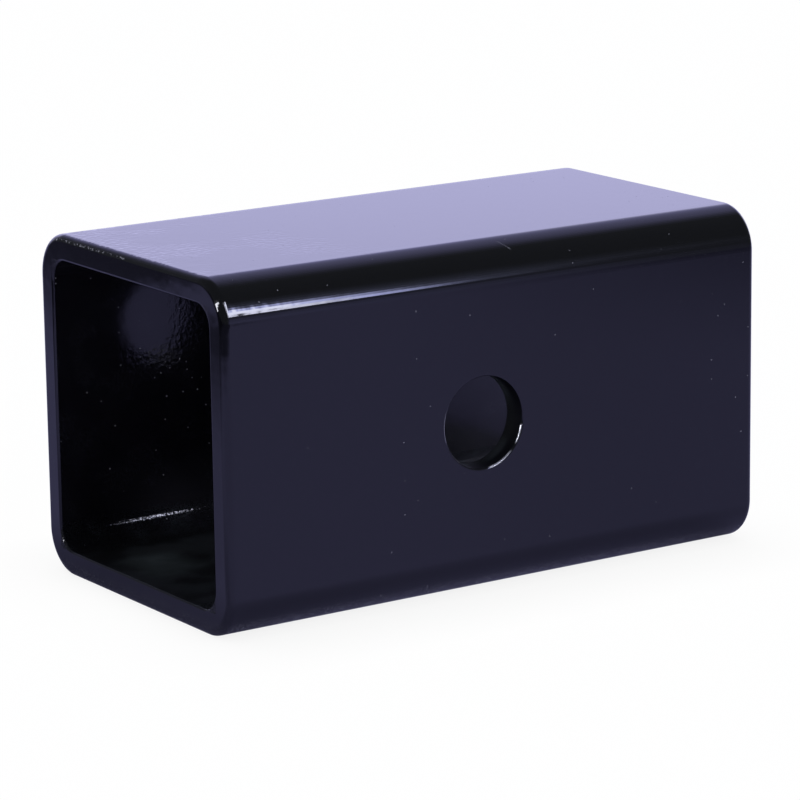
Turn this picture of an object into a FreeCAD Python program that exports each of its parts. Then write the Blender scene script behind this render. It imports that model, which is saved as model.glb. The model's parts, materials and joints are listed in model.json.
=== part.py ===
"""Hitch reducer sleeve: a short length of square steel tube with one cross hole for the hitch pin.

It slides into a wide receiver tube and takes a narrower shank, and one pin holds all three.
X runs along the tube, Y along the pin and Z is up. The origin is where the pin's axis crosses
the middle line of the tube, and the mouth is the end on the -X side. Lengths are in millimetres.
"""
import FreeCAD
import Part
import Sketcher
import math
import os

DRIVING_SIZES = {
    # The tube's section and the length it is sawn to.
    "outer_side": 63.5,
    "wall_thickness": 4.76,
    "outer_corner_radius": 8.0,
    "inner_corner_radius": 4.2,
    "tube_length": 115.0,
    # The pin hole, drilled square through both side walls.
    "pin_hole_diameter": 16.7,
    "pin_hole_from_mouth": 53.6,
    # The edges, broken after sawing and drilling.
    "outer_end_round": 1.4,
    "inner_end_round": 0.5,
    "hole_rim_round": 0.4,
}

# How a sketch names the two ends of a line or arc, the centre of a circle and its own origin.
START, END, CENTRE = 1, 2, 3
SKETCH_ORIGIN = (-1, 1)

ALONG_TUBE = FreeCAD.Vector(1, 0, 0)
OUT_OF_SKETCH = FreeCAD.Vector(0, 0, 1)
TOLERANCE = 1e-6

doc = FreeCAD.newDocument("hitch_reducer_sleeve")
sheet = doc.addObject("Spreadsheet::Sheet", "sizes")
for row, (alias, value) in enumerate(DRIVING_SIZES.items(), start=1):
    sheet.set(f"A{row}", alias)
    sheet.set(f"B{row}", str(value))
    sheet.setAlias(f"B{row}", alias)
doc.recompute()


def new_sketch(body, name, plane_role):
    """A sketch lying flat on one of the body's own base planes."""
    sketch = body.newObject("Sketcher::SketchObject", name)
    planes = {plane.Role: plane for plane in body.Origin.OriginFeatures}
    sketch.AttachmentSupport = (planes[plane_role], [""])
    sketch.MapMode = "FlatFace"
    return sketch


def add_sized(sketch, constraint, name, rule):
    """Adds a constraint that has a size, and ties that size to a rule on the sheet."""
    sketch.renameConstraint(sketch.addConstraint(constraint), name)
    sketch.setExpression(f"Constraints.{name}", rule)


def add_rounded_square(sketch, name, side, radius, side_rule, radius_rule):
    """A square with round corners, centred on the sketch's origin.

    It goes round in quarter turns, each a straight side and then the corner after it.
    """
    half = side / 2
    run = half - radius
    quarter = math.pi / 2
    lines = []
    arcs = []
    for turn in range(4):
        spin = FreeCAD.Rotation(OUT_OF_SKETCH, math.degrees(turn * quarter))
        foot = spin.multVec(FreeCAD.Vector(half, -run, 0))
        head = spin.multVec(FreeCAD.Vector(half, run, 0))
        lines.append(sketch.addGeometry(Part.LineSegment(foot, head), False))
        circle = Part.Circle(spin.multVec(FreeCAD.Vector(run, run, 0)), OUT_OF_SKETCH, radius)
        arc = Part.ArcOfCircle(circle, turn * quarter, (turn + 1) * quarter)
        arcs.append(sketch.addGeometry(arc, False))
    for line, arc, next_line in zip(lines, arcs, lines[1:] + lines[:1]):
        sketch.addConstraint(Sketcher.Constraint("Tangent", line, END, arc, START))
        sketch.addConstraint(Sketcher.Constraint("Tangent", arc, END, next_line, START))
    for line, level in zip(lines, ("Vertical", "Horizontal", "Vertical", "Horizontal")):
        sketch.addConstraint(Sketcher.Constraint(level, line))
    for arc in arcs[1:]:
        sketch.addConstraint(Sketcher.Constraint("Equal", arcs[0], arc))
    sketch.addConstraint(Sketcher.Constraint("Equal", lines[0], lines[1]))
    sketch.addConstraint(
        Sketcher.Constraint("Symmetric", lines[0], START, lines[2], START, *SKETCH_ORIGIN))
    across = Sketcher.Constraint("DistanceX", lines[2], START, lines[0], START, side)
    add_sized(sketch, across, f"{name}_side", side_rule)
    add_sized(sketch, Sketcher.Constraint("Radius", arcs[0], radius), f"{name}_radius", radius_rule)


def end_edges(shape, outer):
    """The edges round the two sawn ends: their outer loops, or else their inner ones."""
    flats = [face for face in shape.Faces if isinstance(face.Surface, Part.Plane)]
    ends = [face for face in flats if face.Surface.Axis.isParallel(ALONG_TUBE, TOLERANCE)]
    loops = [wire for face in ends for wire in face.Wires if wire.isSame(face.OuterWire) == outer]
    return [edge for loop in loops for edge in loop.Edges]


def hole_rims(shape, side):
    """The two round edges where the pin hole opens on the outside of the tube."""
    rounds = [edge for edge in shape.Edges if isinstance(edge.Curve, Part.Circle)]
    return [edge for edge in rounds if abs(abs(edge.Curve.Center.y) - side / 2) < TOLERANCE]


def add_round(body, name, base, edges):
    """Rounds some edges of the base feature, by the size that has the same name."""
    numbered = enumerate(base.Shape.Edges, start=1)
    chosen = [f"Edge{number}" for number, edge in numbered if any(edge.isSame(one) for one in edges)]
    fillet = body.newObject("PartDesign::Fillet", name)
    fillet.Base = (base, chosen)
    fillet.setExpression("Radius", f"sizes.{name}")
    doc.recompute()
    return fillet


# The tube: a rounded square with an even wall, sawn square at both ends.
sleeve = doc.addObject("PartDesign::Body", "sleeve")
sleeve.Label = "sleeve"
sleeve.Placement = FreeCAD.Placement()

section = new_sketch(sleeve, "tube_section", "YZ_Plane")
section.setExpression("AttachmentOffset.Base.z", "-sizes.pin_hole_from_mouth")
add_rounded_square(
    section, "outer", sheet.outer_side, sheet.outer_corner_radius,
    "sizes.outer_side", "sizes.outer_corner_radius")
add_rounded_square(
    section, "inner", sheet.outer_side - 2 * sheet.wall_thickness, sheet.inner_corner_radius,
    "sizes.outer_side - 2 * sizes.wall_thickness", "sizes.inner_corner_radius")

tube = sleeve.newObject("PartDesign::Pad", "tube")
tube.Profile = section
tube.setExpression("Length", "sizes.tube_length")
doc.recompute()

# The pin hole: one straight drilling through the near and the far side wall.
hole_outline = new_sketch(sleeve, "pin_hole_outline", "XZ_Plane")
circle = Part.Circle(FreeCAD.Vector(0, 0, 0), OUT_OF_SKETCH, sheet.pin_hole_diameter / 2)
rim = hole_outline.addGeometry(circle, False)
hole_outline.addConstraint(Sketcher.Constraint("Coincident", rim, CENTRE, *SKETCH_ORIGIN))
add_sized(
    hole_outline, Sketcher.Constraint("Diameter", rim, sheet.pin_hole_diameter),
    "diameter", "sizes.pin_hole_diameter")

pin_hole = sleeve.newObject("PartDesign::Pocket", "pin_hole")
pin_hole.Profile = hole_outline
pin_hole.Type = "ThroughAll"
pin_hole.SideType = "Symmetric"
doc.recompute()

drilled_out = tube.Shape.Volume - pin_hole.Shape.Volume
two_walls = 2 * sheet.wall_thickness * math.pi * sheet.pin_hole_diameter ** 2 / 4
if abs(drilled_out - two_walls) > TOLERANCE * two_walls:
    raise RuntimeError(f"the pin hole takes {drilled_out} mm3, and two walls hold {two_walls}")

# The broken edges: rounds along both sawn ends, outside and in, and on the outer rims of the hole.
outer_ends = add_round(sleeve, "outer_end_round", pin_hole, end_edges(pin_hole.Shape, True))
inner_ends = add_round(sleeve, "inner_end_round", outer_ends, end_edges(outer_ends.Shape, False))
add_round(sleeve, "hole_rim_round", inner_ends, hole_rims(inner_ends.Shape, sheet.outer_side))

failed = [item.Label for item in doc.Objects if {"Invalid", "Error"} & set(item.State)]
if failed:
    raise RuntimeError(f"these did not build: {failed}")
if sleeve.Shape.isNull() or not sleeve.Shape.isValid():
    raise RuntimeError("the sleeve is not a sound solid")

os.makedirs("parts", exist_ok=True)
sleeve.Shape.exportStep(f"parts/{sleeve.Label}.step")
print(f"{sleeve.Label}: {len(sleeve.Shape.Solids)} solid, {sleeve.Shape.Volume:.1f} mm3")
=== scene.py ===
import json
import math

import bpy
from mathutils import Matrix, Vector


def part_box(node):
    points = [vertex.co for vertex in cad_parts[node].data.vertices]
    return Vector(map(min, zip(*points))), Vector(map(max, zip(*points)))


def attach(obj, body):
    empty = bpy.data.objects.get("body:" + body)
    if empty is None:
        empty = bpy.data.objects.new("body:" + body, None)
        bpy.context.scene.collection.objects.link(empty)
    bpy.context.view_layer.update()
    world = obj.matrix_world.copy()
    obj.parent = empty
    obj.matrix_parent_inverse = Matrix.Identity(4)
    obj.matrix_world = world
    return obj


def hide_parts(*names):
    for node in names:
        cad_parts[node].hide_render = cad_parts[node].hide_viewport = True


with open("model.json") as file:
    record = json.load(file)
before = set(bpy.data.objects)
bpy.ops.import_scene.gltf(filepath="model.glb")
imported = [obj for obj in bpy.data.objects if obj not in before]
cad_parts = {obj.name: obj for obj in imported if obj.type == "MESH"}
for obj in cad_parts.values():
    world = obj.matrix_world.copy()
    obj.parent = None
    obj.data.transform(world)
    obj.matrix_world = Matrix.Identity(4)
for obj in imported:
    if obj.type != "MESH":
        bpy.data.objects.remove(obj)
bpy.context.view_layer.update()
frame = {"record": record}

# The sleeve: a length of square steel tube with rolled corners, sawn to length, eased at both ends
# and drilled across for a hitch pin. It is all one piece. The wall's lengthwise section is carried
# round the tube between an outer and an inner outline, and a lathe-shaped cutter opens the hole.
MM = 0.001
low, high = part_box("sleeve")
pin_hole = next(mount for mount in frame["record"]["mounts"] if mount["name"] == "pin_hole")
tube_sizes = {
    "Side": high.z - low.z,
    "Length": high.x - low.x,
    "Middle": (low.x + high.x) / 2,
    "Wall": 4.76 * MM,
    "Outer Corner": 8.0 * MM,
    "Inner Corner": 4.2 * MM,
    "Outer End Round": 1.4 * MM,
    "Inner End Round": 0.5 * MM,
    "Hole Radius": pin_hole["dims"]["r_mm"] * MM,
    "Hole Rim Round": 0.4 * MM,
    "Cutter Overshoot": 1.0 * MM,
    "Weld Distance": 0.002 * MM,
}
CORNER_STEPS = 32
ROUND_STEPS = 12
HOLE_STEPS = 128
RIM_STEPS = 8
CAP_ROWS = 2
HALF_ROW = 0.5
CREASE = math.radians(30)


class Wire:
    """A socket of a node tree. Arithmetic on it adds Math nodes, and add() makes any other node."""

    def __init__(self, tree, socket=None):
        self.tree = tree
        self.socket = socket

    def add(self, kind, settings=None, sockets=None, output=0):
        node = self.tree.nodes.new(kind)
        for name, value in (settings or {}).items():
            if name == "stops":
                stops = node.color_ramp.elements
                stops.remove(stops[1])
                for i, (position, level) in enumerate(value):
                    stop = stops.new(position) if i else stops[0]
                    stop.position = position
                    stop.color = (level, level, level, 1.0)
            else:
                setattr(node, name, value)
        for key, value in (sockets or {}).items():
            if isinstance(value, Wire):
                self.tree.links.new(value.socket, node.inputs[key])
            else:
                node.inputs[key].default_value = value
        return Wire(self.tree, node.outputs[output] if node.outputs else None)

    def other(self, output):
        return Wire(self.tree, self.socket.node.outputs[output])

    def math(self, operation, *values):
        return self.add("ShaderNodeMath", {"operation": operation}, dict(enumerate(values)))

    def whole(self, operation, *values):
        return self.add("FunctionNodeIntegerMath", {"operation": operation}, dict(enumerate(values)))

    def ramp(self, start, end):
        """A smooth step from 0 at start to 1 at end. The start may be the larger of the two."""
        spans = {"Value": self, "From Min": start, "From Max": end}
        return self.add("ShaderNodeMapRange", {"interpolation_type": "SMOOTHSTEP"}, spans)

    def near(self, middle, edge, core):
        """1 within core of a middle, falling smoothly to 0 at edge from it."""
        return self.math("ABSOLUTE", self - middle).ramp(edge, core)

    def tint(self, zero, one):
        """A colour between two others, by this share. The node's names repeat, so sockets go by number."""
        return self.add("ShaderNodeMix", {"data_type": "RGBA"}, {0: self, 6: zero, 7: one}, 2)

    def __add__(self, other):
        return self.math("ADD", self, other)

    def __sub__(self, other):
        return self.math("SUBTRACT", self, other)

    def __rsub__(self, other):
        return self.math("SUBTRACT", other, self)

    def __mul__(self, other):
        return self.math("MULTIPLY", self, other)

    def __truediv__(self, other):
        return self.math("DIVIDE", self, other)

    def __gt__(self, other):
        return self.math("GREATER_THAN", self, other)

    def __lt__(self, other):
        return self.math("LESS_THAN", self, other)

    __radd__ = __add__
    __rmul__ = __mul__


tube = Wire(bpy.data.node_groups.new("sleeve_tube", "GeometryNodeTree"))
size_sockets = {
    name: tube.tree.interface.new_socket(name, in_out="INPUT", socket_type="NodeSocketFloat")
    for name in tube_sizes
}
coat_socket = tube.tree.interface.new_socket("Coat", in_out="INPUT", socket_type="NodeSocketMaterial")
tube.tree.interface.new_socket("Tube", in_out="OUTPUT", socket_type="NodeSocketGeometry")
given = tube.add("NodeGroupInput")
side, length, middle, wall = (given.other(name) for name in ("Side", "Length", "Middle", "Wall"))
hole_radius, rim_round = given.other("Hole Radius"), given.other("Hole Rim Round")


def rounded_outline(width, height, radius, steps):
    sizes = {"Width": width, "Height": height}
    outline = tube.add("GeometryNodeCurvePrimitiveQuadrilateral", None, sizes)
    corners = {"Curve": outline, "Count": steps, "Radius": radius}
    return tube.add("GeometryNodeFilletCurve", {"mode": "POLY"}, corners)


def point_on(curve, number):
    place = {"Geometry": curve, "Value": tube.add("GeometryNodeInputPosition"), "Index": number}
    found = tube.add("GeometryNodeSampleIndex", {"data_type": "FLOAT_VECTOR"}, place)
    return tube.add("ShaderNodeSeparateXYZ", None, {0: found})


def net(rows, columns, x, y, z):
    grid = tube.add("GeometryNodeMeshGrid", None, {"Vertices X": rows, "Vertices Y": columns})
    place = tube.add("ShaderNodeCombineXYZ", None, {0: x, 1: y, 2: z})
    placed = tube.add("GeometryNodeSetPosition", None, {"Geometry": grid, "Position": place})
    closed = {"Geometry": placed, "Distance": given.other("Weld Distance")}
    return tube.add("GeometryNodeMergeByDistance", None, closed)


number = tube.add("GeometryNodeInputIndex")
corner_place = tube.add("ShaderNodeSeparateXYZ", None, {0: tube.add("GeometryNodeInputPosition")})
is_outside = corner_place.other(1) > 0
end_round = is_outside * given.other("Outer End Round") + (1 - is_outside) * given.other("Inner End Round")
profile = rounded_outline(length, wall, end_round, ROUND_STEPS)
outer_outline = rounded_outline(side, side, given.other("Outer Corner"), CORNER_STEPS)
clear_side = side - wall * 2
inner_outline = rounded_outline(clear_side, clear_side, given.other("Inner Corner"), CORNER_STEPS)
profile_count = tube.add("GeometryNodeAttributeDomainSize", {"component": "CURVE"}, {0: profile})
outline_count = tube.add("GeometryNodeAttributeDomainSize", {"component": "CURVE"}, {0: outer_outline})
wall_rows = tube.whole("ADD", profile_count, 1)
wall_columns = tube.whole("ADD", outline_count, 1)
row = tube.whole("MODULO", tube.whole("DIVIDE_FLOOR", number, wall_columns), profile_count)
column = tube.whole("MODULO", tube.whole("MODULO", number, wall_columns), outline_count)
on_profile = point_on(profile, row)
on_outer = point_on(outer_outline, column)
on_inner = point_on(inner_outline, column)
depth = 0.5 - on_profile.other(1) / wall
wall_y = on_outer.other(0) + (on_inner.other(0) - on_outer.other(0)) * depth
wall_z = on_outer.other(1) + (on_inner.other(1) - on_outer.other(1)) * depth
walls = net(wall_rows, wall_columns, on_profile.other(0) + middle, wall_y, wall_z)

cutter_rows = 2 * (CAP_ROWS + RIM_STEPS + 1)
cutter_columns = HOLE_STEPS + 1
cutter_row = tube.whole("DIVIDE_FLOOR", number, cutter_columns)
cutter_column = tube.whole("MODULO", tube.whole("MODULO", number, cutter_columns), HOLE_STEPS)
turn = cutter_column * (math.tau / HOLE_STEPS)
from_middle = cutter_row - (cutter_rows - 1) / 2
from_end = (cutter_rows - 1) / 2 - tube.math("ABSOLUTE", from_middle)
bend = tube.math("MAXIMUM", from_end - CAP_ROWS, 0) * (math.pi / 2 / RIM_STEPS)
reach = hole_radius + rim_round * (1 - tube.math("SINE", bend))
reach = reach * (from_end > HALF_ROW)
across = side / 2 - rim_round * (1 - tube.math("COSINE", bend))
across = across + given.other("Cutter Overshoot") * (from_end < CAP_ROWS - HALF_ROW)
across = across * tube.math("SIGN", from_middle)
cutter_x = reach * tube.math("COSINE", turn)
cutter_z = reach * tube.math("SINE", turn)
cutter = net(cutter_rows, cutter_columns, cutter_x, across, cutter_z)

drilled = {"Mesh 1": walls, "Mesh 2": cutter}
drilled = tube.add("GeometryNodeMeshBoolean", {"operation": "DIFFERENCE", "solver": "EXACT"}, drilled)
is_crease = tube.add("GeometryNodeInputMeshEdgeAngle") > CREASE
sharp = {"Geometry": drilled, "Selection": is_crease, "Shade Smooth": False}
creased = tube.add("GeometryNodeSetShadeSmooth", {"domain": "EDGE"}, sharp)
realized = tube.add("GeometryNodeRealizeInstances", None, {0: creased})
coated = tube.add("GeometryNodeSetMaterial", None, {"Geometry": realized, "Material": given.other("Coat")})
tube.add("NodeGroupOutput", None, {"Tube": coated})

# Its coat: black gloss paint, sprayed on after drilling. It lies flat on the long faces, ripples near
# the sawn mouth and inside, is thin and dull on the inner floor and in the hole, and holds a little dust.
half_side = tube_sizes["Side"] / 2
inside_half = half_side - tube_sizes["Wall"]
coat = bpy.data.materials.new("black_gloss_coat")
coat.use_nodes = True
coat.node_tree.nodes.clear()
paint = Wire(coat.node_tree)
place = paint.add("ShaderNodeTexCoord", None, None, "Object")
spot = paint.add("ShaderNodeSeparateXYZ", None, {0: place})
along, away, up = spot.other("X"), spot.other("Y"), spot.other("Z")
from_mid_plane = paint.math("ABSOLUTE", away)
from_axis = paint.math("MAXIMUM", from_mid_plane, paint.math("ABSOLUTE", up))
from_pin = paint.math("SQRT", along * along + up * up)
from_mouth = along - low.x
from_rear = high.x - along
above_foot = up + half_side
above_inner_floor = up + inside_half
below_top = half_side - up
below_face = half_side - from_mid_plane

# The parts of the tube where the coat differs. A pair is where a part starts to show and where it is full;
# a trio is the part's middle, how far from there it ends, and how far it is full.
SKIN = 0.1 * MM
BORE_RIM = (3.1 * MM, 1.9 * MM)
INNER_FLOOR_EDGE = (1.5 * MM, 0.5 * MM)
INNER_FLOOR_HALF_WIDTH = (23.0 * MM, 18.0 * MM)
LOW_INSIDE = (6.0 * MM, 3.0 * MM)
LIGHT_PATCH_ALONG = (-44.5 * MM, 8.0 * MM, 2.0 * MM)
LIGHT_PATCH_AWAY = (6.0 * MM, 9.0 * MM, 3.0 * MM)
FOOT = (4.0 * MM, 1.2 * MM)
NEAR_MOUTH = (20.0 * MM, 4.0 * MM)
MOUTH_HALF = (50.0 * MM, 8.0 * MM)
WRINKLES_PAST = (-34.0 * MM, -27.0 * MM)
WRINKLES_BELOW = (10.0 * MM, 6.0 * MM)
WRINKLES_UP_TO = (-5.0 * MM, -20.0 * MM)
FRONT_INSIDE = (0.0, -12.0 * MM)
REAR_INSIDE = (-15.0 * MM, 10.0 * MM)
REAR_LOW_INSIDE = (5.2 * MM, 4.2 * MM)
REAR_END = (25.0 * MM, 50.0 * MM)
SETTLED_ALONG = (-26.5 * MM, 7.0 * MM, 3.0 * MM)
SETTLED_UP = (-2.0 * MM, 9.0 * MM, 4.0 * MM)
PAST_END_FACE = (1.0 * MM, 2.5 * MM)
UPPER_CORNER = (6.4 * MM, 5.0 * MM)
FLECKS_FROM_MOUTH = 0.05 * MM
FLECKS_TO = 0.2 * MM
FLECKS_BELOW_TOP = 1.5 * MM
FLECKS_AWAY = 1.0 * MM
inside = from_axis < inside_half + SKIN
outside = 1 - inside
in_bore = (from_pin < tube_sizes["Hole Radius"] + SKIN) * outside
bore_rim = in_bore * below_face.ramp(*BORE_RIM)
on_inner_floor = above_inner_floor.ramp(*INNER_FLOOR_EDGE) * from_mid_plane.ramp(*INNER_FLOOR_HALF_WIDTH)
inside_floor = inside * on_inner_floor
inside_low = inside * above_inner_floor.ramp(*LOW_INSIDE)
# A painted patch of light on the inner floor near the mouth.
light_patch = inside_floor * along.near(*LIGHT_PATCH_ALONG) * away.near(*LIGHT_PATCH_AWAY)
low_corner = outside * above_foot.ramp(*FOOT)
near_mouth = from_mouth.ramp(*NEAR_MOUTH)
mouth_half = from_mouth.ramp(*MOUTH_HALF)
on_top = up > half_side - SKIN
wrinkled = paint.math("MAXIMUM", along.ramp(*WRINKLES_PAST), up.ramp(*WRINKLES_BELOW))
wrinkled = inside * wrinkled * along.ramp(*WRINKLES_UP_TO)
front_inside = inside * along.ramp(*FRONT_INSIDE)
rear_inside = inside * along.ramp(*REAR_INSIDE)
rear_low = rear_inside * above_inner_floor.ramp(*REAR_LOW_INSIDE)
rear_end = outside * along.ramp(*REAR_END)
settled = inside * along.near(*SETTLED_ALONG) * up.near(*SETTLED_UP) * (away > 0)
past_mouth = from_mouth.ramp(*PAST_END_FACE)
before_rear = from_rear.ramp(*PAST_END_FACE)
upper_corner = outside * past_mouth * below_top.ramp(*UPPER_CORNER) * (1 - on_top)
# The mouth's upper edge gets pale flecks: painted highlight specks that stand in for the glints along its
# round.
glint_edge = (from_mouth > FLECKS_FROM_MOUTH) * (from_mouth < FLECKS_TO)
glint_edge = glint_edge * (below_top < FLECKS_BELOW_TOP) * (away > FLECKS_AWAY)

# Its relief: orange peel all over, ripples by the mouth and wrinkles inside. A noise is its scale per metre
# and its detail.
NOISE_MIDDLE = 0.5
PEEL_NOISE = (300.0, 1.5)
FLAT_PEEL = 0.12
MOUTH_PEEL = 0.6
INSIDE_PEEL = 0.35
RIPPLE_PATCH_NOISE = (75.0, 1.0)
RIPPLE_PATCH_LEVELS = (0.48, 0.6)
TOP_NOISE = (850.0, 1.0)
TOP_RIPPLE = 2.6
CORNER_NOISE = (560.0, 1.0)
CORNER_RIPPLE = 0.45
WRINKLE_NOISE = (1150.0, 2.0)
PEEL_DEPTH = 0.03
RIPPLE_DEPTH = 0.03


def noise(scale, detail):
    return paint.add("ShaderNodeTexNoise", None, {"Vector": place, "Scale": scale, "Detail": detail})


peel = noise(*PEEL_NOISE) - NOISE_MIDDLE
peel = peel * (FLAT_PEEL + near_mouth * outside * MOUTH_PEEL + inside * INSIDE_PEEL)
ripple_patches = noise(*RIPPLE_PATCH_NOISE).ramp(*RIPPLE_PATCH_LEVELS)
ripple = (noise(*TOP_NOISE) - NOISE_MIDDLE) * ripple_patches * mouth_half * on_top * TOP_RIPPLE
ripple = ripple + (noise(*CORNER_NOISE) - NOISE_MIDDLE) * near_mouth * upper_corner * CORNER_RIPPLE
ripple = ripple + (noise(*WRINKLE_NOISE) - NOISE_MIDDLE) * wrinkled
relief = peel * PEEL_DEPTH + ripple * RIPPLE_DEPTH
coat_normal = paint.add("ShaderNodeBump", None, {"Height": relief, "Strength": 1.0, "Distance": MM})

# Its marks: dust, most of it inside, pale flecks along the mouth's upper edge, which are painted highlight
# specks, pale grey speckles along the lower corners, one short scratch, and arcs of bare steel on the hole's
# rim, placed where its highlights fall so that the lamps glint in them.
DUST_CELLS = 700.0
DUST_SIZE = 0.085
DUST_RARITY = 0.94
FRONT_INSIDE_DUST = 0.08
SETTLED_DUST = 0.78
REAR_END_DUST = 0.1
FLECK_NOISE = (2100.0, 0.0)
FLECK_LEVELS = (0.54, 0.62)
GRAIN_NOISE = (5200.0, 1.0)
FOOT_SPECKLE_LEVELS = (0.55, 0.68)
END_FACE_SPECKLES = 0.3
SCRATCH_START = Vector((6.3, -26.5, 31.2)) * MM
SCRATCH_END = Vector((8.2, -29.1, 29.7)) * MM
SCRATCH_WIDTH = 0.28 * MM
SCRATCH_CORE = 0.3
SCRATCH_FULL_FROM = 0.3
SCRATCH_FULL_TO = 0.8
# Arcs of bare steel on the hole's rim, put where its highlights fall so that the lamps glint in them: painted
# glints. The last, faint arc gives the pale line along the rim's left side.
RIM_GLINT_ARCS = (
    {"middle": -22.5, "half": 14.0, "width": 0.14 * MM, "level": 1.0},
    {"middle": -64.0, "half": 21.0, "width": 0.15 * MM, "level": 0.9},
    {"middle": 178.0, "half": 22.0, "width": 0.3 * MM, "level": 0.12},
)
RIM_GLINT_CORE = 0.6
cell = paint.add("ShaderNodeTexVoronoi", None, {"Vector": place, "Scale": DUST_CELLS}, "Distance")
chance = paint.add("ShaderNodeSeparateColor", None, {0: cell.other("Color")})
rarity = DUST_RARITY + rear_inside - front_inside * FRONT_INSIDE_DUST
rarity = rarity - settled * SETTLED_DUST - rear_end * REAR_END_DUST
dust = (cell < DUST_SIZE) * (chance > rarity)
# Painted highlight specks along the mouth's upper edge.
painted_glints = noise(*FLECK_NOISE).ramp(*FLECK_LEVELS) * glint_edge
grain = noise(*GRAIN_NOISE)
# Pale grey speckles along the lower corners, fewer on the end faces, which lighten the band there.
foot_speckles = END_FACE_SPECKLES + (1 - END_FACE_SPECKLES) * past_mouth * before_rear
foot_speckles = foot_speckles * low_corner * grain.ramp(*FOOT_SPECKLE_LEVELS)
scratch_way = (SCRATCH_END - SCRATCH_START).normalized()
scratch_length = (SCRATCH_END - SCRATCH_START).length
from_start = paint.add("ShaderNodeVectorMath", {"operation": "SUBTRACT"}, {0: place, 1: SCRATCH_START})
way_along = {0: from_start, 1: scratch_way}
way_along = paint.add("ShaderNodeVectorMath", {"operation": "DOT_PRODUCT"}, way_along, "Value")
spread = paint.add("ShaderNodeVectorMath", {"operation": "LENGTH"}, {0: from_start}, "Value")
aside = paint.math("SQRT", paint.math("MAXIMUM", spread * spread - way_along * way_along, 0))
scratch = aside.ramp(SCRATCH_WIDTH, SCRATCH_CORE * SCRATCH_WIDTH)
scratch = scratch * way_along.ramp(0, SCRATCH_FULL_FROM * scratch_length)
scratch = scratch * way_along.ramp(scratch_length, SCRATCH_FULL_TO * scratch_length)
round_pin = paint.math("ARCTAN2", up, along)
on_rim = from_mid_plane > half_side - tube_sizes["Hole Rim Round"]
rim_glint_steel = 0.0
for arc in RIM_GLINT_ARCS:
    from_arc = round_pin - math.radians(arc["middle"])
    from_arc = paint.math("ARCCOSINE", paint.math("COSINE", from_arc))
    arc_half = math.radians(arc["half"])
    arc_face = on_rim * (from_pin < tube_sizes["Hole Radius"] + arc["width"])
    rim_glint_steel = rim_glint_steel + from_arc.ramp(arc_half, RIM_GLINT_CORE * arc_half) * arc["level"] * arc_face

# The full coat, which is deep gloss and carries the marks, and the thin one, which is matt and blotched. They
# are mixed by how thin the paint lies.
PAINT_IOR = 1.5
PAINT_BLACK = (0.0009, 0.0009, 0.001, 1.0)
INSIDE_BLACK = (0.006, 0.005, 0.008, 1.0)
DUST_GREY = (0.1, 0.1, 0.105, 1.0)
INSIDE_DUST_GREY = (0.4, 0.4, 0.42, 1.0)
PAINTED_GLINT_GREY = (0.16, 0.16, 0.17, 1.0)
FOOT_SPECKLE_GREY = (0.16, 0.16, 0.17, 1.0)
SCRATCH_GREY = (0.06, 0.06, 0.063, 1.0)
BARE_STEEL = (0.7, 0.7, 0.72, 1.0)
GLOSS = 0.05
INSIDE_GLOSS = 0.09
REAR_INSIDE_GLOSS = 0.15
LOW_INSIDE_GLOSS = 0.08
RIM_GLINT_ROUGHNESS = 0.25
DUST_ROUGHNESS = 0.6
RIM_GLINT_METALLIC = 0.8
colour = dust.tint(inside.tint(PAINT_BLACK, INSIDE_BLACK), inside.tint(DUST_GREY, INSIDE_DUST_GREY))
colour = foot_speckles.tint(painted_glints.tint(colour, PAINTED_GLINT_GREY), FOOT_SPECKLE_GREY)
colour = rim_glint_steel.tint(scratch.tint(colour, SCRATCH_GREY), BARE_STEEL)
inside_gloss = INSIDE_GLOSS + rear_inside * (REAR_INSIDE_GLOSS - INSIDE_GLOSS)
inside_gloss = inside_gloss + inside_low * (LOW_INSIDE_GLOSS - INSIDE_GLOSS)
roughness = GLOSS + inside * (inside_gloss - GLOSS) + rim_glint_steel * (RIM_GLINT_ROUGHNESS - GLOSS)
roughness = roughness + dust * (DUST_ROUGHNESS - roughness)
full = {"Base Color": colour, "Roughness": roughness, "Metallic": rim_glint_steel * RIM_GLINT_METALLIC}
full = {**full, "IOR": PAINT_IOR, "Normal": coat_normal}
full_coat = paint.add("ShaderNodeBsdfPrincipled", None, full)

THIN_PAINT_DARK = (0.004, 0.0044, 0.0048, 1.0)
THIN_PAINT_PALE = (0.026, 0.03, 0.033, 1.0)
BORE_RIM_SHADE = (0.003, 0.0032, 0.0045, 1.0)
LIGHT_PATCH_PALE = (0.068, 0.083, 0.085, 1.0)
THIN_ROUGHNESS = 0.6
THIN_SPECULAR = 0.08
BLOTCH_NOISE = (110.0, 2.0)
BLOTCH_LEVELS = (0.42, 0.62)
GRAIN_LEVELS = (0.45, 0.7)
GRAIN_SHARE = 0.4
LIGHT_PATCH_BASE = 0.55
DRY_SPRAY_NOISE = (3900.0, 1.0)
DRY_SPRAY_LEVELS = (0.54, 0.49)
BORE_THINNESS = 0.8
BORE_RIM_THINNESS = 0.1
INSIDE_THINNESS = 0.2
REAR_LOW_THINNESS = 0.9
blotches = noise(*BLOTCH_NOISE).ramp(*BLOTCH_LEVELS)
thin_spots = grain.ramp(*GRAIN_LEVELS) * GRAIN_SHARE + blotches * (1 - GRAIN_SHARE)
thin_colour = thin_spots.tint(THIN_PAINT_DARK, THIN_PAINT_PALE)
# The painted patch of light on the inner floor, greenish and blotched.
thin_colour = (light_patch * (LIGHT_PATCH_BASE + blotches * (1 - LIGHT_PATCH_BASE))).tint(thin_colour, LIGHT_PATCH_PALE)
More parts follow.
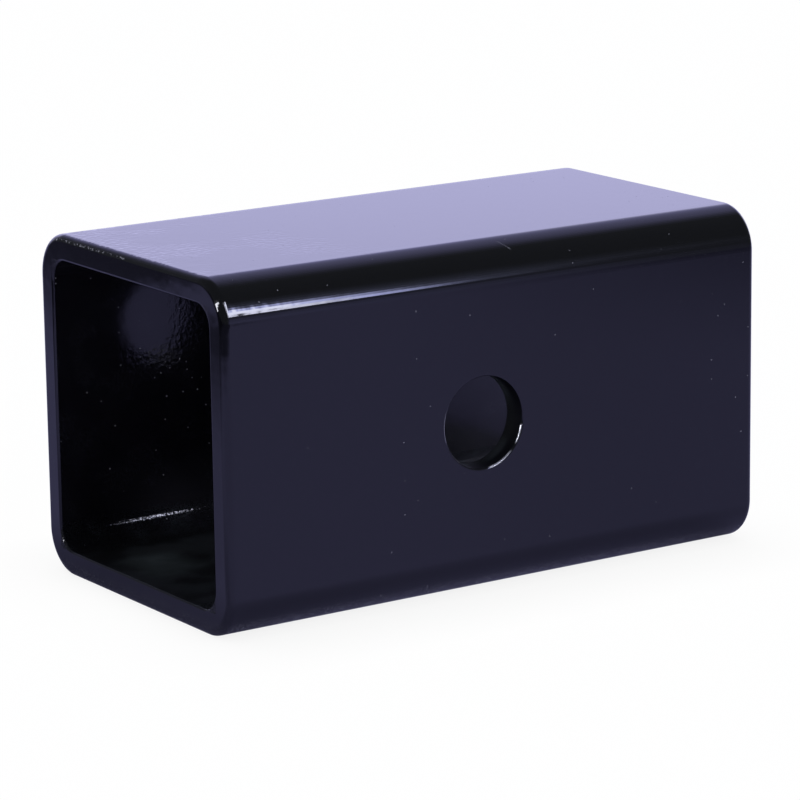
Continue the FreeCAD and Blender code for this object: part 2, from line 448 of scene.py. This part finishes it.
# Painted shade: the outer part of the bore is darkened.
thin_colour = bore_rim.tint(thin_colour, BORE_RIM_SHADE)
thin = {"Base Color": thin_colour, "Roughness": THIN_ROUGHNESS, "Specular IOR Level": THIN_SPECULAR}
thin = {**thin, "IOR": PAINT_IOR, "Normal": coat_normal}
thin_coat = paint.add("ShaderNodeBsdfPrincipled", None, thin)
dry_spray = inside_low * front_inside * noise(*DRY_SPRAY_NOISE).ramp(*DRY_SPRAY_LEVELS)
bore_thin = (in_bore * BORE_THINNESS + bore_rim * BORE_RIM_THINNESS) * (1 - rim_glint_steel)
thinness = inside_floor
for thin_part in (dry_spray, bore_thin, inside * INSIDE_THINNESS, rear_low * REAR_LOW_THINNESS):
    thinness = paint.math("MAXIMUM", thinness, thin_part)
both = paint.add("ShaderNodeMixShader", None, {0: thinness, 1: full_coat, 2: thin_coat})
paint.add("ShaderNodeOutputMaterial", None, {"Surface": both})

blank = bpy.data.objects.new("sleeve_blank", bpy.data.meshes.new("sleeve_blank"))
bpy.context.scene.collection.objects.link(blank)
rule = blank.modifiers.new("tube", "NODES")
rule.node_group = tube.tree
for name, value in tube_sizes.items():
    rule[size_sockets[name].identifier] = value
rule[coat_socket.identifier] = coat
even = blank.modifiers.new("even_gloss", "WEIGHTED_NORMAL")
even.keep_sharp = True
graph = bpy.context.evaluated_depsgraph_get()
sleeve_mesh = bpy.data.meshes.new_from_object(
    blank.evaluated_get(graph), preserve_all_data_layers=True, depsgraph=graph
)
bpy.data.objects.remove(blank)
sleeve = bpy.data.objects.new("sleeve_tube", sleeve_mesh)
bpy.context.scene.collection.objects.link(sleeve)
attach(sleeve, "root")
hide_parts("sleeve")

# The floor that the sleeve lies on: a wide round sheet of paper, white to the eye. The gloss shows it in the
# cool shade of the studio: a pool of light round the sleeve that reaches furthest to the front right.
FLOOR_RADIUS = 12.0
FLOOR_EDGES = 64
FLOOR_COLOUR = (0.82, 0.82, 0.82, 1.0)
FLOOR_WHITE = (1.0, 1.0, 1.0, 1.0)
FLOOR_COOL = (0.42, 0.41, 0.81, 1.0)
FLOOR_DIM = (0.03, 0.03, 0.05, 1.0)
BLACK = (0.0, 0.0, 0.0, 1.0)
FLOOR_GLOW = 0.99
SHADE_SAMPLES = 8
SHADE_REACH = 0.022
SHADE_SEEN = 0.13
SHADE_REFLECTED = 0.85
POOL_AZIMUTH = math.radians(34.0)
BACK_SLOPE = 2.2
BACK_SLOPE_START = -0.062
BACK_SLOPE_MIDDLE = -0.05
STRAY_PLACE = Vector((-0.205, 0.221, low.z))
STRAY_SPAN = (0.04, 0.005)
STRAY_LIGHT = 0.5
floor_turns = [math.tau * i / FLOOR_EDGES for i in range(FLOOR_EDGES)]
floor_points = [
    (FLOOR_RADIUS * math.cos(floor_turn), FLOOR_RADIUS * math.sin(floor_turn), low.z)
    for floor_turn in floor_turns
]
floor_mesh = bpy.data.meshes.new("floor")
floor_mesh.from_pydata(floor_points, [], [range(FLOOR_EDGES)])
floor = bpy.data.objects.new("floor", floor_mesh)
bpy.context.scene.collection.objects.link(floor)
floor_paper = bpy.data.materials.new("pale_floor")
floor_paper.use_nodes = True
floor_paper.node_tree.nodes.clear()
floor_paper.cycles.emission_sampling = "NONE"
paper = Wire(floor_paper.node_tree)
ray = paper.add("ShaderNodeLightPath", None, None, "Is Camera Ray")
seen = ray + ray.other("Is Glossy Ray") + ray.other("Is Transmission Ray")
place = paper.add("ShaderNodeTexCoord", None, None, "Object")
spot = paper.add("ShaderNodeSeparateXYZ", None, {0: place})
along, away = spot.other("X"), spot.other("Y")
frontward = along * math.sin(POOL_AZIMUTH) - away * math.cos(POOL_AZIMUTH)
rightward = along * math.cos(POOL_AZIMUTH) + away * math.sin(POOL_AZIMUTH)
backward = 0 - frontward
leftward = 0 - rightward
outward = paper.math("SQRT", frontward * frontward + leftward * leftward)
sloped = paper.math("MAXIMUM", rightward, BACK_SLOPE_START) - BACK_SLOPE_MIDDLE
slope_back = backward - BACK_SLOPE * sloped
beyond_rear = along - high.x
beyond_mouth = low.x - along
# Each change of the pool's light is the share of it that is taken, or added where that is below zero, and the
# spans over which it comes in, in metres.
pool_changes = {
    "shadow": (0.45, (backward, -0.03, 0.06), (leftward, 0.14, 0.07)),
    "far back": (0.85, (slope_back, 0.14, 0.27)),
    "back right": (-0.3, (backward, 0.0, 0.08), (rightward, -0.045, -0.015)),
    "far left": (0.85, (outward, 0.25, 0.305), (leftward, 0.08, 0.14)),
    "far right": (0.65, (frontward, 0.2, 0.42), (rightward, -0.05, 0.09)),
    "right side": (0.12, (frontward, 0.0, 0.06), (rightward, -0.05, 0.02)),
    "rear end": (0.55, (beyond_rear, -0.03, 0.0), (beyond_rear, 0.04, 0.0), (away, -0.034, -0.024)),
    "mouth": (0.4, (beyond_mouth, 0.022, 0.005), (beyond_mouth, -0.02, 0.0), (away, -0.034, -0.024)),
    "near side": (0.13, (away, -0.05, -0.036), (away, -0.026, -0.032)),
}
lit = 1.0
for taken, *spans in pool_changes.values():
    for way, start, end in spans:
        taken = taken * way.ramp(start, end)
    lit = lit * (1 - taken)
from_stray = {0: place, 1: STRAY_PLACE}
from_stray = paper.add("ShaderNodeVectorMath", {"operation": "DISTANCE"}, from_stray, "Value")
lit = lit + STRAY_LIGHT * from_stray.ramp(*STRAY_SPAN)
unshaded = ray.tint(lit.tint(FLOOR_DIM, FLOOR_COOL), FLOOR_WHITE)
shade_reach = {"Distance": SHADE_REACH}
covered = 1 - paper.add("ShaderNodeAmbientOcclusion", {"samples": SHADE_SAMPLES}, shade_reach, "AO")
shade = 1 - covered * (SHADE_REFLECTED + ray * (SHADE_SEEN - SHADE_REFLECTED))
plain = paper.add("ShaderNodeBsdfDiffuse", None, {"Color": FLOOR_COLOUR})
shown = shade.tint(BLACK, unshaded)
glow = paper.add("ShaderNodeEmission", None, {"Color": shown, "Strength": 1.0})
share = {0: paper.math("MINIMUM", seen, 1) - ray * (1 - FLOOR_GLOW), 1: plain, 2: glow}
paper.add("ShaderNodeOutputMaterial", None, {"Surface": paper.add("ShaderNodeMixShader", None, share)})
floor_mesh.materials.append(floor_paper)

# The studio: lit sheets round the sleeve, which are what its gloss shows, in a dim room. Places on a sheet
# are an azimuth, from the front towards the right, and an elevation, in degrees.
ROOM_COLOUR = (0.13, 0.14, 0.17, 1.0)
CARD_DISTANCE = 4.0
CARD_STEPS = 24


def towards(azimuth, elevation):
    around = math.radians(azimuth)
    rise = math.radians(elevation)
    return Vector((math.sin(around) * math.cos(rise), -math.cos(around) * math.cos(rise), math.sin(rise)))


def card(name, corners, colour, across, upward):
    """A lit sheet between four corners, given round it from the low start.

    across and upward are the stops of the fade of its light along its first side and its second."""
    start, end, top_end, top_start = (Vector(corner) for corner in corners)
    row = CARD_STEPS + 1
    shares = [(i / CARD_STEPS, j / CARD_STEPS) for j in range(row) for i in range(row)]
    places = [start.lerp(end, u).lerp(top_start.lerp(top_end, u), v) for u, v in shares]
    firsts = [row * j + i for j in range(CARD_STEPS) for i in range(CARD_STEPS)]
    mesh = bpy.data.meshes.new(name)
    mesh.from_pydata(
        [towards(*place) * CARD_DISTANCE for place in places],
        [],
        [(first, first + 1, first + row + 1, first + row) for first in firsts],
    )
    fade = mesh.uv_layers.new(name="fade")
    for loop in mesh.loops:
        fade.data[loop.index].uv = shares[loop.vertex_index]
    holder = bpy.data.objects.new(name, mesh)
    bpy.context.scene.collection.objects.link(holder)
    cloth = bpy.data.materials.new(name)
    cloth.use_nodes = True
    cloth.node_tree.nodes.clear()
    light = Wire(cloth.node_tree)
    spot = light.add("ShaderNodeSeparateXYZ", None, {0: light.add("ShaderNodeTexCoord", None, None, "UV")})
    level = light.add("ShaderNodeValToRGB", {"stops": across}, {0: spot.other("X")})
    level = level * light.add("ShaderNodeValToRGB", {"stops": upward}, {0: spot.other("Y")})
    lit_colour = level.tint(ROOM_COLOUR, colour)
    glow = light.add("ShaderNodeEmission", None, {"Color": lit_colour, "Strength": 1.0})
    light.add("ShaderNodeOutputMaterial", None, {"Surface": glow})
    mesh.materials.append(cloth)


def stops(*levels):
    """Fade stops from (angle, level) pairs, as shares of the span from the first angle to the last."""
    start, end = levels[0][0], levels[-1][0]
    return [((angle - start) / (end - start), level) for angle, level in levels]


wall_fade = stops(
    (92, 0.0),
    (100, 0.3),
    (108, 0.7),
    (115, 1.0),
    (174, 1.0),
    (186, 0.5),
    (198, 0.12),
    (206, 0.02),
    (216, 0.0),
)
card(
    "back_wall",
    corners=[(92.0, -2.0), (216.0, -2.0), (216.0, 27.0), (92.0, 27.0)],
    colour=(1.6, 1.57, 2.5, 1.0),
    across=wall_fade,
    upward=stops((-2, 0.63), (12, 0.63), (17, 0.85), (20, 0.95), (22, 1.0), (23.5, 0.97), (27, 0.46)),
)
card(
    "upper_wall",
    corners=[(92.0, 27.0), (216.0, 27.0), (216.0, 64.0), (92.0, 64.0)],
    colour=(0.8, 0.78, 1.5, 1.0),
    across=wall_fade,
    upward=stops(
        (27, 0.94), (30, 0.7), (35, 0.58), (47, 0.5), (51, 0.38), (55, 0.25), (59, 0.1), (64, 0.0)
    ),
)
softbox_top_fade = [(0.0, 1.0), (0.9, 1.0), (1.0, 0.3)]
card(
    "front_softbox",
    corners=[(17.6, 14.7), (33.0, 14.7), (33.0, 48.0), (-16.0, 48.0)],
    colour=(16.0, 16.4, 20.5, 1.0),
    across=[(0.0, 0.1), (0.35, 0.4), (0.6, 1.0), (1.0, 1.0)],
    upward=softbox_top_fade,
)
card(
    "softbox_spill",
    corners=[(33.0, 14.1), (43.0, 14.1), (43.0, 44.0), (33.0, 44.0)],
    colour=(11.8, 12.6, 22.0, 1.0),
    across=stops(
        (33, 0.8),
        (33.8, 0.5),
        (34.5, 0.24),
        (35, 0.055),
        (35.7, 0.033),
        (37, 0.018),
        (39, 0.008),
        (41, 0.003),
        (43, 0.0),
    ),
    upward=softbox_top_fade,
)
card(
    "front_fill",
    corners=[(2.0, -1.2), (44.0, -1.2), (44.0, 14.0), (2.0, 14.0)],
    colour=(0.5, 0.5, 1.0, 1.0),
    across=stops(
        (2, 0.1), (15, 0.4), (25, 0.8), (31, 1.0), (33.3, 0.8), (35.7, 0.5), (37.8, 0.2), (44, 0.0)
    ),
    upward=stops((-1.2, 1.0), (3.5, 0.95), (5.2, 0.8), (6.6, 0.38), (9, 0.33), (11.5, 0.42), (14, 0.5)),
)
card(
    "left_softbox",
    corners=[(-125.6, -8.8), (-71.6, 34.2), (-74.4, 37.8), (-128.4, -5.2)],
    colour=(19.0, 19.0, 21.0, 1.0),
    across=[(0.0, 0.3), (0.12, 0.8), (0.25, 1.0), (0.7, 1.0), (0.85, 0.6), (1.0, 0.25)],
    upward=[(0.0, 1.0), (1.0, 1.0)],
)

room = bpy.data.worlds.new("studio")
room.use_nodes = True
room.node_tree.nodes["Background"].inputs["Color"].default_value = ROOM_COLOUR
room.node_tree.nodes["Background"].inputs["Strength"].default_value = 1.0
bpy.context.scene.world = room

# The camera: a long lens, a little above the sleeve and to the left of its near side, so that it looks
# into the mouth. Its lens and sensor are in millimetres.
CAMERA_AZIMUTH = -33.94
CAMERA_ELEVATION = 13.134
CAMERA_ROLL = math.radians(-0.759)
CAMERA_DISTANCE = 716.14 * MM
CAMERA_AIM = Vector((3.30, -0.25, -2.23)) * MM
LENS_LENGTH = 174.9
SENSOR_WIDTH = 36.0
NEAREST_SEEN = 0.01
FURTHEST_SEEN = 100.0
camera_data = bpy.data.cameras.new("camera")
camera_data.lens = LENS_LENGTH
camera_data.sensor_width = SENSOR_WIDTH
camera_data.clip_start = NEAREST_SEEN
camera_data.clip_end = FURTHEST_SEEN
camera = bpy.data.objects.new("camera", camera_data)
back = towards(CAMERA_AZIMUTH, CAMERA_ELEVATION)
turned = back.to_track_quat("Z", "Y").to_matrix().to_4x4() @ Matrix.Rotation(CAMERA_ROLL, 4, "Z")
camera.matrix_world = Matrix.Translation(CAMERA_AIM + back * CAMERA_DISTANCE) @ turned
bpy.context.scene.collection.objects.link(camera)
bpy.context.scene.camera = camera
bpy.context.scene.view_settings.view_transform = "Standard"
